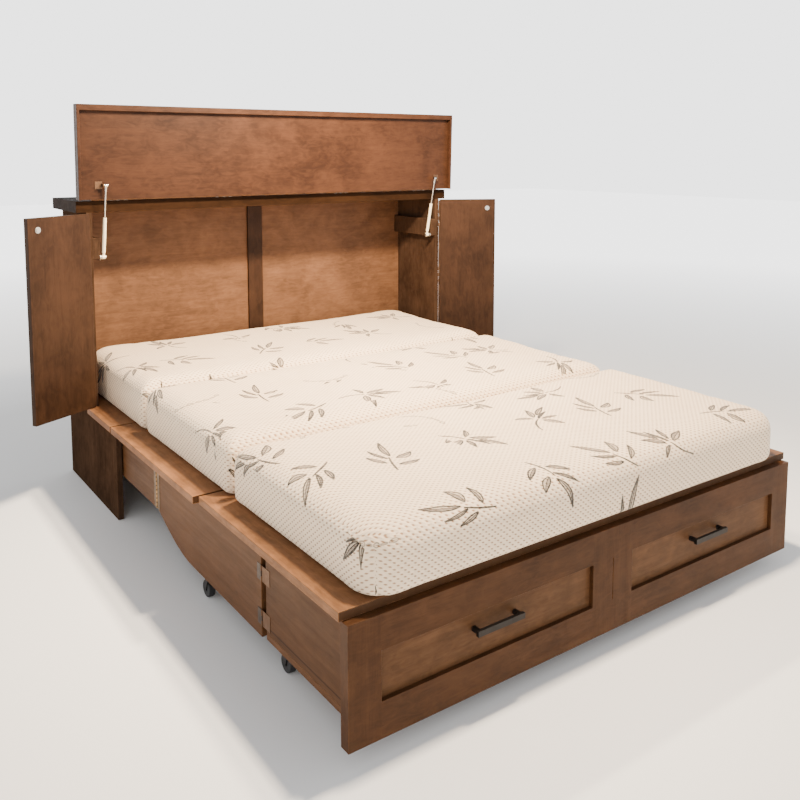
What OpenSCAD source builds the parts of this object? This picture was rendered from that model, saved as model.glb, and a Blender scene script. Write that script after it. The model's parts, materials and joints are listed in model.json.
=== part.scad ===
/* [Cabinet] */
// Width across the outer faces of the cabinet sides
cabinet_w = 1638; // [1600:1:1700]
// Thickness of the cabinet side panels
side_t = 20; // [18:1:20]
// Height of the cabinet below its top board
cabinet_h = 1078; // [1078:1:1078]
// Thickness of the fixed top board
top_t = 42; // [36:1:50]
// Sideways overhang of the top board past each side
top_overhang = 36; // [30:1:60]
// Depth of the tall rear part of the cabinet
tall_depth = 334; // [330:1:340]
// Thickness of the two back panels
back_t = 12; // [6:1:12]
// Width of the centre stile on the back
stile_w = 70; // [40:1:100]

/* [Folding platform] */
// Distance between neighbouring fold axes, the same for platform and supports
link = 750; // [740:1:750]
// Height of the underside of the platform
slab_z = 327; // [327:1:327]
// Thickness of the platform sections
slab_t = 22; // [18:1:22]
// Half width of the middle platform section
slab_half_mid = 842; // [825:1:843]
// Half width of the front platform section
slab_half_front = 828; // [790:1:838]
// Thickness of the folding side supports
support_t = 18; // [15:1:18]

/* [Drawer] */
// Thickness of the drawer front
front_t = 30; // [30:1:30]
// Height of the drawer front's lower edge above the floor
front_z = 42; // [25:1:45]
// Depth of the drawer box behind its front
box_depth = 394; // [360:1:394]
// Height of the underside of the drawer box
box_z = 84; // [84:1:92]
// Width of each recessed panel of the drawer front
recess_w = 658; // [560:1:680]
// Length of each drawer pull
pull_len = 146; // [100:1:180]

/* [Lid and wings] */
// Depth of the lid, front to back, when it is closed
lid_depth = 345; // [340:1:350]
// Thickness of the lid board
lid_t = 20; // [18:1:20]
// Angle between the lid as modelled and its closed position
lid_open = 88.5; // [0:0.1:95]
// Angle between the side wings as modelled and their closed position
wing_open = 63.6; // [10:0.1:110]
// Length of a wing, hinge edge to free edge
wing_len = 268; // [240:1:271]

/* [Mattress] */
// Width of the mattress
mattress_w = 1530; // [1400:1:1540]
// Thickness of the mattress
mattress_t = 155; // [120:1:160]

/* [Casters] */
// Radius of a caster wheel
wheel_r = 25; // [20:1:27]
// Width of a caster wheel
wheel_w = 20; // [16:1:22]
// Distance from swivel axis to wheel axle
caster_trail = 18; // [12:1:20]

/* [Hidden] */
$fn = 48;
half_w = cabinet_w / 2;
inner_half = half_w - side_t;
travel = 2 * link;
// Gap between the closed drawer front and the cabinet side
front_gap = 5;
low_front_y = travel + front_t + front_gap;
// Barrel radius of the platform hinges
slab_barrel_r = 4;
head_axis_y = travel + 20;
head_axis_z = slab_z + slab_t - slab_barrel_r;
fold_axis_y = head_axis_y - link;
fold_axis_z = slab_z - 0.5;
// Clear distance from a platform fold axis to the edge of a section
slab_edge = 5;
slab_front_y = 22;
back_y = 2134;
tall_front_y = back_y - tall_depth;
back_face_y = 2104;
bed_z = slab_z + slab_t + 1;
pull_front_y = -18;
// Rails across the cabinet
back_rail_h = 100;
back_rail_zs = [100, 560, cabinet_h - back_rail_h];
rail_t = 18;
rail_h = 80;
ledger_y = back_face_y - 30;
kick_z = 20;
// Depth coordinate that lies over the origin
mid_y = (back_y + pull_front_y) / 2;

// Folding side supports: axes run upright just inside the cabinet side
support_x = inner_half - 2.5;
support_top = 325;
support_front_y = 445;
support_mid_y = support_front_y + link;
support_rear_y = support_front_y + travel;
// Outer face of a support panel, from its axis
support_off = 1.5;
panel_out = support_x - support_off;
panel_in = panel_out - support_t;
support_edge = 4;
// Clear of the folded supports and of their hinge leaves on the cabinet
mid_rail_y = support_rear_y + 27;
rear_support_z = 156;
front_support_z = 78;

// Lid
lid_axis_y = tall_front_y;
// Height of the lid's axis above its own upper face and the fixed top
lid_axis_up = 5;
lid_axis_z = cabinet_h + top_t + lid_axis_up;
// Height of the lid's inner face, from its axis, when closed
lid_face = -lid_axis_up - lid_t;
lid_half = half_w + top_overhang;
lid_lip_w = 22;
lid_end_w = 10;
lid_edge = 1.5;

// Wings
wing_axis_x = half_w + 4;
wing_axis_y = tall_front_y - 0.5;
wing_low = slab_z + slab_t + 3;
wing_high = cabinet_h - 3;

// Gas struts
strut_x = 758;
strut_low = [tall_front_y + 12, 909];
strut_top_off = [-54, -46];
strut_top = [
    lid_axis_y + strut_top_off[0] * cos(lid_open) + strut_top_off[1] * sin(lid_open),
    lid_axis_z - strut_top_off[0] * sin(lid_open) + strut_top_off[1] * cos(lid_open)
];
strut_len = norm(strut_top - strut_low);
strut_tilt = atan2(strut_low[0] - strut_top[0], strut_top[1] - strut_low[1]);
tube_len = 152;
tube_r = 6.5;
rod_r = 3;
rod_slack = 0.05;
stud_ball_r = 6.5;
// Blocks inside the cabinet that carry the lower studs
cleat_in = 773;
cleat_low = 903;
cleat_h = 80;

// Hinge hardware
pin_r = 1.9;
bore_r = 1.95;
leaf_t = 1.5;
thin_leaf = 1.2;
// Leaf and barrel sizes of the lid, wing and platform hinges
lid_hinge_xs = [-700, -276, 276, 700];
lid_hinge_len = 70;
lid_barrel_r = 3.5;
lid_leaf_reach = 28;
wing_hinge_zs = [wing_low + 90, (wing_low + wing_high) / 2, wing_high - 90];
wing_hinge_len = 76;
hinge_xs = [-600, -200, 200, 600];
slab_hinge_len = 90;
slab_leaf_reach = 34;
// Piano hinges between the supports and short ones at their ends
piano_len = support_top - rear_support_z - 6;
piano_z = (support_top + rear_support_z) / 2;
piano_count = 9;
support_leaf_reach = 24;
drawer_hinge_zs = [132, 250];
cabinet_hinge_zs = [190, 300];
short_hinge = 42;

// Drawer
recess_low = 128;
recess_high = 243;
recess_in = 76;
panel_face_y = 12;
frame_top = 326;
board_t = 18;
box_out = panel_out;
box_rear = front_t + box_depth;
pull_x = recess_in + recess_w / 2;
pull_z = 200;

// Casters: swivel axis of each kind, width and depth
support_caster = [765, 840];
drawer_caster = [750, 374];
plate_t = 3;

// Mattress
section_len = 696;
section_gap = 2;
mattress_rear_y = 2090;

walnut = [0.42, 0.26, 0.16];
walnut_lit = [0.62, 0.41, 0.26];
steel = [0.72, 0.72, 0.70];
brass = [0.72, 0.58, 0.33];
black = [0.06, 0.06, 0.06];
ticking = [0.92, 0.88, 0.82];

// ---- helpers -------------------------------------------------------------

// Puts the depth coordinates onto the model's own origin
module put() {
    translate([0, -mid_y, 0]) children();
}

// Draws its children on the right, or mirrored on the left
module on_side(side) {
    mirror([side < 0 ? 1 : 0, 0, 0]) children();
}

// A box between two corners
module block(low, high) {
    translate(low) cube(high - low);
}

// A box with its upright edges rounded
module pillow_block(low, high, r) {
    block([low[0] + r, low[1], low[2]], [high[0] - r, high[1], high[2]]);
    block([low[0], low[1] + r, low[2]], [high[0], high[1] - r, high[2]]);
    for (x = [low[0] + r, high[0] - r], y = [low[1] + r, high[1] - r])
        translate([x, y, low[2]]) cylinder(r = r, h = high[2] - low[2]);
}

// A cylinder along X, centred on x
module rod_x(x0, x1, r) {
    translate([x0, 0, 0]) rotate([0, 90, 0]) cylinder(r = r, h = x1 - x0);
}

// One half of a hinge along X, at the origin: a leaf to +Y with its face at z0, and every
// second knuckle from first. A tab joins each knuckle to the leaf.
module hinge_leaf(len, r, count, first, reach, z0) {
    pitch = len / count;
    near = r + 0.6;
    difference() {
        union() {
            block([-len / 2, near, z0], [len / 2, reach, z0 + leaf_t]);
            for (i = [first:2:count - 1]) {
                x0 = -len / 2 + i * pitch + 0.3;
                x1 = x0 + pitch - 0.6;
                block([x0, 0, z0], [x1, near + 0.5, z0 + leaf_t]);
                rod_x(x0, x1, r);
            }
        }
        rod_x(-len, len, bore_r);
    }
}

// ---- cabinet -------------------------------------------------------------

module cabinet_side(side) {
    color(walnut) put() on_side(side) {
        block([inner_half, low_front_y, 0], [half_w, back_y, slab_z]);
        block([inner_half, tall_front_y, slab_z], [half_w, back_y, cabinet_h]);
    }
}

module back_panels() {
    color(walnut_lit) put() for (side = [-1, 1]) on_side(side)
        block([1, back_face_y, back_rail_zs[0]], [inner_half, back_face_y + back_t, cabinet_h]);
}

module back_stile() {
    color(walnut) put()
        block([-stile_w / 2, back_face_y - 12, bed_z], [stile_w / 2, back_face_y, cabinet_h]);
}

module cabinet_rails() {
    color(walnut) put() {
        for (z = back_rail_zs)
            block([-inner_half, back_face_y + back_t, z], [inner_half, back_y, z + back_rail_h]);
        block([-inner_half, mid_rail_y, slab_z - rail_h], [inner_half, mid_rail_y + rail_t, slab_z]);
        block([-inner_half, ledger_y, slab_z - rail_h], [inner_half, back_face_y, slab_z]);
        block([-inner_half, ledger_y, kick_z], [inner_half, ledger_y + rail_t, kick_z + rail_h]);
    }
}

module top_board() {
    color(walnut) put()
        block([-lid_half, tall_front_y, cabinet_h], [lid_half, back_y, cabinet_h + top_t]);
}

module strut_cleats() {
    color(walnut) put() for (side = [-1, 1]) on_side(side)
        block([cleat_in, tall_front_y + 1, cleat_low],
              [inner_half, back_face_y, cleat_low + cleat_h]);
}

module platform_head() {
    color(walnut_lit) put() difference() {
        union() {
            block([-slab_half_mid, head_axis_y + slab_edge, slab_z],
                  [slab_half_mid, tall_front_y - 1, slab_z + slab_t]);
            block([1 - inner_half, tall_front_y - 2, slab_z],
                  [inner_half - 1, back_face_y - 2, slab_z + slab_t]);
        }
        for (x = hinge_xs) leaf_recess(x, head_axis_y, 1, slab_z + slab_t - leaf_t);
    }
}

module strut_studs() {
    color(steel) put() for (side = [-1, 1]) on_side(side)
        translate([0, strut_low[0], strut_low[1]]) {
            rod_x(strut_x - 7, cleat_in, 3.5);
            rod_x(cleat_in - 3, cleat_in, 11);
            rod_x(strut_x - 9, strut_x - 6.6, 5);
        }
}

// ---- lid -----------------------------------------------------------------

// Places children drawn in the closed position where the open lid stands
module lid_frame() {
    put() translate([0, lid_axis_y, lid_axis_z]) rotate([-lid_open, 0, 0]) children();
}

module lid_panel() {
    color(walnut) lid_frame()
        block([-lid_half, -lid_depth - lid_edge, lid_face], [lid_half, -lid_edge, lid_face + lid_t]);
}

module lid_lips() {
    low = lid_face + lid_t - top_t;
    front = -lid_depth - lid_edge;
    // Closed, the front lip stands just clear of the folded platform
    color(walnut) lid_frame() {
        block([-lid_half, front, low], [lid_half, front + lid_lip_w, lid_face]);
        for (side = [-1, 1]) on_side(side)
            block([lid_half - lid_end_w, front + lid_lip_w, low], [lid_half, -lid_edge, lid_face]);
    }
}

module lid_hinge_fixed() {
    color(steel) put() for (x = lid_hinge_xs) translate([x, lid_axis_y, lid_axis_z]) {
        hinge_leaf(lid_hinge_len, lid_barrel_r, 5, 0, lid_leaf_reach, -lid_axis_up);
        rod_x(-lid_hinge_len / 2, lid_hinge_len / 2, pin_r);
    }
}

module lid_hinge_moving() {
    color(steel) lid_frame() for (x = lid_hinge_xs) translate([x, 0, 0])
        mirror([0, 1, 0])
            hinge_leaf(lid_hinge_len, lid_barrel_r, 5, 1, lid_leaf_reach, -lid_axis_up);
}

module lid_strut_brackets() {
    y = strut_top_off[0];
    z = strut_top_off[1];
    color(steel) lid_frame() for (side = [-1, 1]) on_side(side) {
        block([strut_x + 8, y - 14, lid_face - 2], [strut_x + 34, y + 14, lid_face]);
        block([strut_x + 8, y - 6, z], [strut_x + 11, y + 6, lid_face - 2]);
        translate([0, y, z]) rod_x(strut_x + 8, strut_x + 11, 6);
    }
}

// ---- gas struts ----------------------------------------------------------

// Places children drawn upright on the lower stud along the strut's own line
module strut_frame(side) {
    put() on_side(side) translate([strut_x, strut_low[0], strut_low[1]])
        rotate([strut_tilt, 0, 0]) children();
}

module strut_tube(side) {
    color("white") strut_frame(side) difference() {
        union() {
            rod_x(-6, 6, 8);
            cylinder(r = 4.5, h = 22);
            translate([0, 0, 18]) cylinder(r = tube_r, h = tube_len - 18);
        }
        rod_x(-20, 20, 3.56);
        translate([0, 0, 26]) cylinder(r = rod_r + rod_slack, h = tube_len);
    }
}

module strut_rod(side) {
    color(steel) strut_frame(side) {
        translate([0, 0, tube_len - 30]) cylinder(r = rod_r, h = strut_len - tube_len + 25);
        translate([0, 0, strut_len - 24]) cylinder(r = 4.5, h = 20);
        translate([0, 0, strut_len]) rod_x(-6, 6, stud_ball_r);
    }
}

// ---- wings ---------------------------------------------------------------

// Places children drawn in the closed position on an open right wing
module wing_frame(side) {
    put() on_side(side) translate([wing_axis_x, wing_axis_y, 0])
        rotate([0, 0, wing_open]) children();
}

module wing(side) {
    color(walnut) wing_frame(side)
        block([inner_half - wing_axis_x, -wing_len, wing_low],
              [half_w - wing_axis_x, -0.5, wing_high]);
}

// Upright hinge with its leaf on an outer face, drawn on the wing axis
module upright_leaf(z, first, toward) {
    translate([0, 0, z]) mirror([0, toward < 0 ? 1 : 0, 0])
        rotate([0, -90, 0]) hinge_leaf(wing_hinge_len, 3, 5, first, 30, 2.5);
}

module wing_hinge_fixed() {
    color(steel) put() for (side = [-1, 1]) on_side(side)
        translate([wing_axis_x, wing_axis_y, 0]) for (z = wing_hinge_zs) {
            upright_leaf(z, 0, 1);
            translate([0, 0, z - wing_hinge_len / 2]) cylinder(r = pin_r, h = wing_hinge_len);
        }
}

module wing_hinge(side) {
    color(steel) wing_frame(side) for (z = wing_hinge_zs) upright_leaf(z, 1, -1);
}

module wing_catch(side) {
    color(steel) wing_frame(side)
        translate([inner_half - wing_axis_x, 40 - wing_len, wing_high - 42]) rotate([0, -90, 0]) {
            cylinder(r = 11, h = 2);
            cylinder(r = 8, h = 4);
        }
}

// ---- folding platform ----------------------------------------------------

// Space for a flush hinge leaf; toward is +1 or -1 along Y from the axis
module leaf_recess(x, axis_y, toward, z) {
    near = slab_edge - 1;
    far = slab_leaf_reach + 0.2;
    y0 = toward > 0 ? axis_y + near : axis_y - far;
    y1 = toward > 0 ? axis_y + far : axis_y - near;
    block([x - slab_hinge_len / 2 - 0.2, y0, z], [x + slab_hinge_len / 2 + 0.2, y1, z + leaf_t]);
}

module platform_mid() {
    color(walnut_lit) put() difference() {
        block([-slab_half_mid, fold_axis_y + slab_edge, slab_z],
              [slab_half_mid, head_axis_y - slab_edge, slab_z + slab_t]);
        for (x = hinge_xs) {
            leaf_recess(x, head_axis_y, -1, slab_z + slab_t - leaf_t);
            leaf_recess(x, fold_axis_y, 1, slab_z);
        }
    }
}

module platform_front() {
    color(walnut_lit) put() difference() {
        block([-slab_half_front, slab_front_y, slab_z],
              [slab_half_front, fold_axis_y - slab_edge, slab_z + slab_t]);
        for (x = hinge_xs) leaf_recess(x, fold_axis_y, -1, slab_z);
    }
}

module head_hinge_fixed() {
    color(steel) put() for (x = hinge_xs) translate([x, head_axis_y, head_axis_z]) {
        hinge_leaf(slab_hinge_len, slab_barrel_r, 5, 0, slab_leaf_reach, slab_barrel_r - leaf_t);
        rod_x(-slab_hinge_len / 2, slab_hinge_len / 2, pin_r);
    }
}

module platform_mid_hinges() {
    color(steel) put() for (x = hinge_xs) {
        translate([x, head_axis_y, head_axis_z]) mirror([0, 1, 0])
            hinge_leaf(slab_hinge_len, slab_barrel_r, 5, 1, slab_leaf_reach, slab_barrel_r - leaf_t);
        translate([x, fold_axis_y, fold_axis_z]) {
            hinge_leaf(slab_hinge_len, slab_barrel_r, 5, 0, slab_leaf_reach, 0.5);
            rod_x(-slab_hinge_len / 2, slab_hinge_len / 2, pin_r);
        }
    }
}

module platform_front_hinges() {
    color(steel) put() for (x = hinge_xs) translate([x, fold_axis_y, fold_axis_z])
        mirror([0, 1, 0]) hinge_leaf(slab_hinge_len, slab_barrel_r, 5, 1, slab_leaf_reach, 0.5);
}

// ---- folding side supports -----------------------------------------------

module rear_support(side) {
    color(walnut) put() on_side(side)
        block([panel_in, support_mid_y + support_edge, rear_support_z],
              [panel_out, support_rear_y - support_edge, support_top]);
}

// Outline of a front support in the YZ plane; its lower rear corner is swept up
module front_support(side) {
    y0 = support_front_y + support_edge;
    y1 = support_mid_y - support_edge;
    rise = rear_support_z - front_support_z;
    run = 285;
    steps = 12;
    outline = concat([[y0, support_top], [y0, front_support_z]],
        [for (i = [0:steps]) let (t = i / steps)
            [y1 - run * (1 - t), front_support_z + rise * (1 - cos(90 * t))]],
        [[y1, support_top]]);
    color(walnut) put() on_side(side) translate([panel_in, 0, 0])
        rotate([90, 0, 90]) linear_extrude(support_t) polygon(outline);
}

// Upright thin leaf against a support's outer face, drawn on its axis, built as hinge_leaf is
module support_leaf(len, count, first, reach, toward, z, face = -support_off) {
    pitch = len / count;
    near = 2.9;
    mirror([0, toward < 0 ? 1 : 0, 0]) translate([0, 0, z - len / 2]) difference() {
        union() {
            block([face, near, 0], [face + thin_leaf, reach, len]);
            for (i = [first:2:count - 1]) {
                z0 = i * pitch + 0.3;
                z1 = z0 + pitch - 0.6;
                block([face, 0, z0], [face + thin_leaf, near + 0.5, z1]);
                translate([0, 0, z0]) cylinder(r = 2.3, h = z1 - z0);
            }
        }
        translate([0, 0, -len]) cylinder(r = 1.25, h = 3 * len);
    }
}

module thin_pin(len, z) {
    translate([0, 0, z - len / 2]) cylinder(r = 1.2, h = len);
}

module rear_support_hinges(side) {
    color(brass) put() on_side(side) {
        translate([support_x, support_mid_y, 0]) {
            support_leaf(piano_len, piano_count, 0, support_leaf_reach, 1, piano_z);
            thin_pin(piano_len, piano_z);
        }
        for (z = cabinet_hinge_zs) translate([support_x, support_rear_y, 0])
            support_leaf(short_hinge, 3, 1, support_leaf_reach, -1, z);
    }
}

module front_support_hinges(side) {
    color(brass) put() on_side(side) {
        translate([support_x, support_mid_y, 0])
            support_leaf(piano_len, piano_count, 1, support_leaf_reach, -1, piano_z);
        for (z = drawer_hinge_zs) translate([support_x, support_front_y, 0])
            support_leaf(short_hinge, 3, 1, support_leaf_reach, 1, z);
    }
}

// The cabinet's own leaves lie against its inner faces, behind the axis
module cabinet_support_hinges() {
    face = inner_half - support_x - thin_leaf;
    color(brass) put() for (side = [-1, 1]) on_side(side)
        for (z = cabinet_hinge_zs) translate([support_x, support_rear_y, 0]) {
            support_leaf(short_hinge, 3, 0, 26, 1, z, face);
            thin_pin(short_hinge, z);
        }
}

module drawer_support_hinges() {
    color(brass) put() for (side = [-1, 1]) on_side(side)
        for (z = drawer_hinge_zs) translate([support_x, support_front_y, 0]) {
            support_leaf(short_hinge, 3, 0, 44, -1, z);
            thin_pin(short_hinge, z);
        }
}

// ---- drawer --------------------------------------------------------------

module drawer_front_frame() {
    color(walnut) put() difference() {
        block([-half_w, 0, front_z], [half_w, front_t, frame_top]);
        for (side = [-1, 1]) on_side(side)
            block([recess_in, -1, recess_low], [recess_in + recess_w, front_t + 1, recess_high]);
        block([-1, -1, recess_low], [1, 2, recess_high]);
    }
}

module drawer_panels() {
    color(walnut) put() for (side = [-1, 1]) on_side(side)
        block([recess_in, panel_face_y, recess_low],
              [recess_in + recess_w, front_t, recess_high]);
}

module drawer_sides() {
    color(walnut) put() for (side = [-1, 1]) on_side(side)
        block([box_out - board_t, front_t, box_z + board_t], [box_out, box_rear, support_top]);
}

module drawer_back() {
    color(walnut) put()
        block([board_t - box_out, box_rear - board_t, box_z + board_t],
              [box_out - board_t, box_rear, support_top - 25]);
}

module drawer_bottom() {
    color(walnut) put()
        block([-box_out, front_t, box_z], [box_out, box_rear, box_z + board_t]);
}

module drawer_pulls() {
    color(black) put() for (side = [-1, 1]) on_side(side) translate([pull_x, 0, pull_z]) {
        block([-pull_len / 2, pull_front_y, -7], [pull_len / 2, pull_front_y + 9, 7]);
        for (x = [-pull_len / 2 + 4, pull_len / 2 - 14])
            block([x, pull_front_y + 9, -5], [x + 10, panel_face_y, 5]);
    }
}

// ---- casters -------------------------------------------------------------

// The mounting plate of a caster whose top face is at z
module caster_plate(at, z) {
    translate([at[0], at[1], z - plate_t]) difference() {
        pillow_block([-26, -26, 0], [26, 26, plate_t], 5);
        translate([0, 0, -1]) cylinder(r = 4.08, h = plate_t + 2);
        for (x = [-19, 19], y = [-19, 19])
            translate([x, y, -1]) cylinder(r = 2.2, h = plate_t + 2);
    }
}

module caster_fork(at, z) {
    crown = z - plate_t - 0.5;
    leg_in = wheel_w / 2 + 1;
    leg = 2.5;
    translate([at[0], at[1], 0]) {
        translate([0, 0, crown - 7]) cylinder(r = 15, h = 7);
        translate([0, 0, crown]) cylinder(r = 4, h = plate_t);
        for (side = [-1, 1]) on_side(side) {
            translate([leg_in, 0, 0]) rotate([90, 0, 90]) linear_extrude(leg)
                polygon([[-9, crown - 2], [12, crown - 2], [caster_trail + 6, wheel_r],
                         [caster_trail - 6, wheel_r]]);
            translate([0, caster_trail, wheel_r]) rod_x(leg_in, leg_in + leg, 7);
        }
        translate([0, caster_trail, wheel_r]) rod_x(-leg_in - leg, leg_in + leg, 4);
        block([-leg_in - leg, -9, crown - 9], [leg_in + leg, 12, crown - 6]);
    }
}

module caster_wheel(at) {
    r = 3;
    hw = wheel_w / 2;
    translate([at[0], at[1] + caster_trail, wheel_r]) rotate([0, 90, 0]) rotate_extrude($fn = 64)
        polygon(concat([[4.06, -hw], [wheel_r - r, -hw]],
            [for (a = [-60:30:0]) [wheel_r - r + r * cos(a), -hw + r + r * sin(a)]],
            [for (a = [0:30:60]) [wheel_r - r + r * cos(a), hw - r + r * sin(a)]],
            [[wheel_r - r, hw], [4.06, hw]]));
}

module support_caster_plate(side) {
    color(steel) put() on_side(side) caster_plate(support_caster, front_support_z);
}

module drawer_caster_plates() {
    color(steel) put() for (side = [-1, 1]) on_side(side) caster_plate(drawer_caster, box_z);
}

module support_fork(side) {
    color(black) put() on_side(side) caster_fork(support_caster, front_support_z);
}

module drawer_fork(side) {
    color(black) put() on_side(side) caster_fork(drawer_caster, box_z);
}

module support_wheel(side) {
    color(black) put() on_side(side) caster_wheel(support_caster);
}

module drawer_wheel(side) {
    color(black) put() on_side(side) caster_wheel(drawer_caster);
}

// ---- mattress ------------------------------------------------------------

// Section 0 is at the head, section 2 at the foot
module mattress_section(index) {
    y1 = mattress_rear_y - index * (section_len + section_gap);
    color(ticking) put() pillow_block([-mattress_w / 2, y1 - section_len, bed_z],
        [mattress_w / 2, y1, bed_z + mattress_t], 12);
}

cabinet_side(-1);  // side_left
cabinet_side(1);  // side_right
back_panels();
back_stile();
cabinet_rails();
top_board();
strut_cleats();
platform_head();
strut_studs();
lid_panel();
lid_lips();
lid_hinge_fixed();
lid_hinge_moving();
lid_strut_brackets();
strut_tube(-1);  // strut_tube_left
strut_tube(1);  // strut_tube_right
strut_rod(-1);  // strut_rod_left
strut_rod(1);  // strut_rod_right
wing(-1);  // wing_left
wing(1);  // wing_right
wing_hinge_fixed();
wing_hinge(-1);  // wing_hinge_left
wing_hinge(1);  // wing_hinge_right
wing_catch(-1);  // wing_catch_left
wing_catch(1);  // wing_catch_right
platform_mid();
platform_front();
head_hinge_fixed();
platform_mid_hinges();
platform_front_hinges();
rear_support(-1);  // rear_support_left
rear_support(1);  // rear_support_right
front_support(-1);  // front_support_left
front_support(1);  // front_support_right
rear_support_hinges(-1);  // rear_support_hinges_left
rear_support_hinges(1);  // rear_support_hinges_right
front_support_hinges(-1);  // front_support_hinges_left
front_support_hinges(1);  // front_support_hinges_right
cabinet_support_hinges();
drawer_support_hinges();
drawer_front_frame();
drawer_panels();
drawer_sides();
drawer_back();
drawer_bottom();
drawer_pulls();
support_caster_plate(-1);  // support_caster_plate_left
support_caster_plate(1);  // support_caster_plate_right
drawer_caster_plates();
support_fork(-1);  // support_fork_left
support_fork(1);  // support_fork_right
drawer_fork(-1);  // drawer_fork_left
drawer_fork(1);  // drawer_fork_right
support_wheel(-1);  // support_wheel_left
support_wheel(1);  // support_wheel_right
drawer_wheel(-1);  // drawer_wheel_left
drawer_wheel(1);  // drawer_wheel_right
mattress_section(0);  // mattress_head
mattress_section(1);  // mattress_mid
mattress_section(2);  // mattress_foot
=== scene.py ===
import json
import math

import bmesh
import bpy
import numpy as np
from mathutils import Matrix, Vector


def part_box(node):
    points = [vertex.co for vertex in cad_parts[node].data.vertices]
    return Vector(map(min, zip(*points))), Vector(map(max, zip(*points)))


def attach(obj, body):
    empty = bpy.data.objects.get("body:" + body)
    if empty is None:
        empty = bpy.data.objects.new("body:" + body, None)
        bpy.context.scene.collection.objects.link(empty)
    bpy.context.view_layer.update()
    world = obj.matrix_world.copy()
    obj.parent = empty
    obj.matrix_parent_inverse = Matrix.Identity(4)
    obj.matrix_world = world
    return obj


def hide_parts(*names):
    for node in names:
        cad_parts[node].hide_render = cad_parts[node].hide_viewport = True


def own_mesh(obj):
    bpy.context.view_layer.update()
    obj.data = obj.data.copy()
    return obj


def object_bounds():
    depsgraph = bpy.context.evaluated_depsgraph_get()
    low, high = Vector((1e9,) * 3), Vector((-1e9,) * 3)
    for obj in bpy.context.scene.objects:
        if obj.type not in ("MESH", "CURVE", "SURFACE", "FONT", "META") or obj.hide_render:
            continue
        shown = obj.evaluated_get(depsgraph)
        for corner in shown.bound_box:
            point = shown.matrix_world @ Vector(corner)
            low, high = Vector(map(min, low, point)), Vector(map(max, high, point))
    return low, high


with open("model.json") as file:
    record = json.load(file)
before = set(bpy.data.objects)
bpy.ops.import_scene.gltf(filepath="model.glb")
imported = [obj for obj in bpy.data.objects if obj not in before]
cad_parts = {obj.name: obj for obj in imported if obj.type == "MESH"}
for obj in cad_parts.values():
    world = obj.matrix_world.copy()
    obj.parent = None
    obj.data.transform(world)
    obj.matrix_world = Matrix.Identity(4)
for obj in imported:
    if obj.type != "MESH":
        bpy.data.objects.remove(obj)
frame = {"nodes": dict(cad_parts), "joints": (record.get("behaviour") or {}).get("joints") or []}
cad_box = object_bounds()
nodes = frame["nodes"]

# Lengths are in metres in the row frame: x runs across the bed, y from the foot to the head, z up.


# ---- shader building ----------------------------------------------------------

class Nodes:
    """Short calls that add and join the nodes of one node tree."""

    def __init__(self, tree):
        self.tree = tree

    def put(self, value, socket):
        """Sets a socket from a number, colour or another socket."""
        if isinstance(value, bpy.types.NodeSocket):
            self.tree.links.new(value, socket)
        elif value is not None:
            socket.default_value = value

    def node(self, kind, inputs=None, **settings):
        made = self.tree.nodes.new("ShaderNode" + kind)
        for key, value in settings.items():
            setattr(made, key, value)
        for key, value in (inputs or {}).items():
            self.put(value, made.inputs[key])
        return made

    def math(self, operation, a, b=None):
        made = self.node("Math", operation=operation)
        self.put(a, made.inputs[0])
        self.put(b, made.inputs[1])
        return made.outputs[0]

    def ramp(self, value, low, high, to_low=0.0, to_high=1.0):
        """Moves value from the range low to high into the range to_low to to_high."""
        made = self.node("MapRange", {"Value": value, "From Min": low, "From Max": high,
                                      "To Min": to_low, "To Max": to_high})
        return made.outputs[0]

    def mix(self, factor, a, b):
        """A colour between a and b."""
        made = self.node("Mix", data_type="RGBA")
        self.put(factor, made.inputs[0])
        self.put(a, made.inputs[6])
        self.put(b, made.inputs[7])
        return made.outputs[2]

    def noise(self, vector, scale, detail=4.0, roughness=0.5, distortion=0.0):
        made = self.node("TexNoise", {"Vector": vector, "Scale": scale, "Detail": detail,
                                      "Roughness": roughness, "Distortion": distortion})
        return made.outputs[0]

    def split(self, vector):
        """The x, y and z of a vector."""
        return self.node("SeparateXYZ", {0: vector}).outputs


class Shader(Nodes):
    """A material whose nodes end in one principled shader."""

    def __init__(self, name):
        self.mat = bpy.data.materials.new(name)
        self.mat.use_nodes = True
        super().__init__(self.mat.node_tree)
        self.bsdf = self.tree.nodes["Principled BSDF"]

    def place(self, scale=(1, 1, 1), offset=(0, 0, 0)):
        """Object coordinates, stretched by scale and moved by offset."""
        where = self.node("TexCoord").outputs["Object"]
        return self.node("Mapping", {"Vector": where, "Scale": scale, "Location": offset}).outputs[0]

    def normal(self):
        return self.node("NewGeometry").outputs["Normal"]

    def bump(self, height, distance, strength):
        made = self.node("Bump", {"Height": height, "Distance": distance, "Strength": strength})
        self.put(made.outputs[0], self.bsdf.inputs["Normal"])

    def set(self, **values):
        """Sets the principled shader's inputs, with _ for a space in their names."""
        for key, value in values.items():
            self.put(value, self.bsdf.inputs[key.replace("_", " ")])


def rgb(red, green, blue):
    """A display colour, 0 to 255, as a linear colour for a shader."""
    def linear(c):
        c /= 255
        return c / 12.92 if c <= 0.04045 else ((c + 0.055) / 1.055) ** 2.4
    return (linear(red), linear(green), linear(blue), 1.0)


def scaled(colour, k):
    return tuple(c * k for c in colour[:3]) + (1.0,)


# ---- colours ------------------------------------------------------------------

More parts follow.
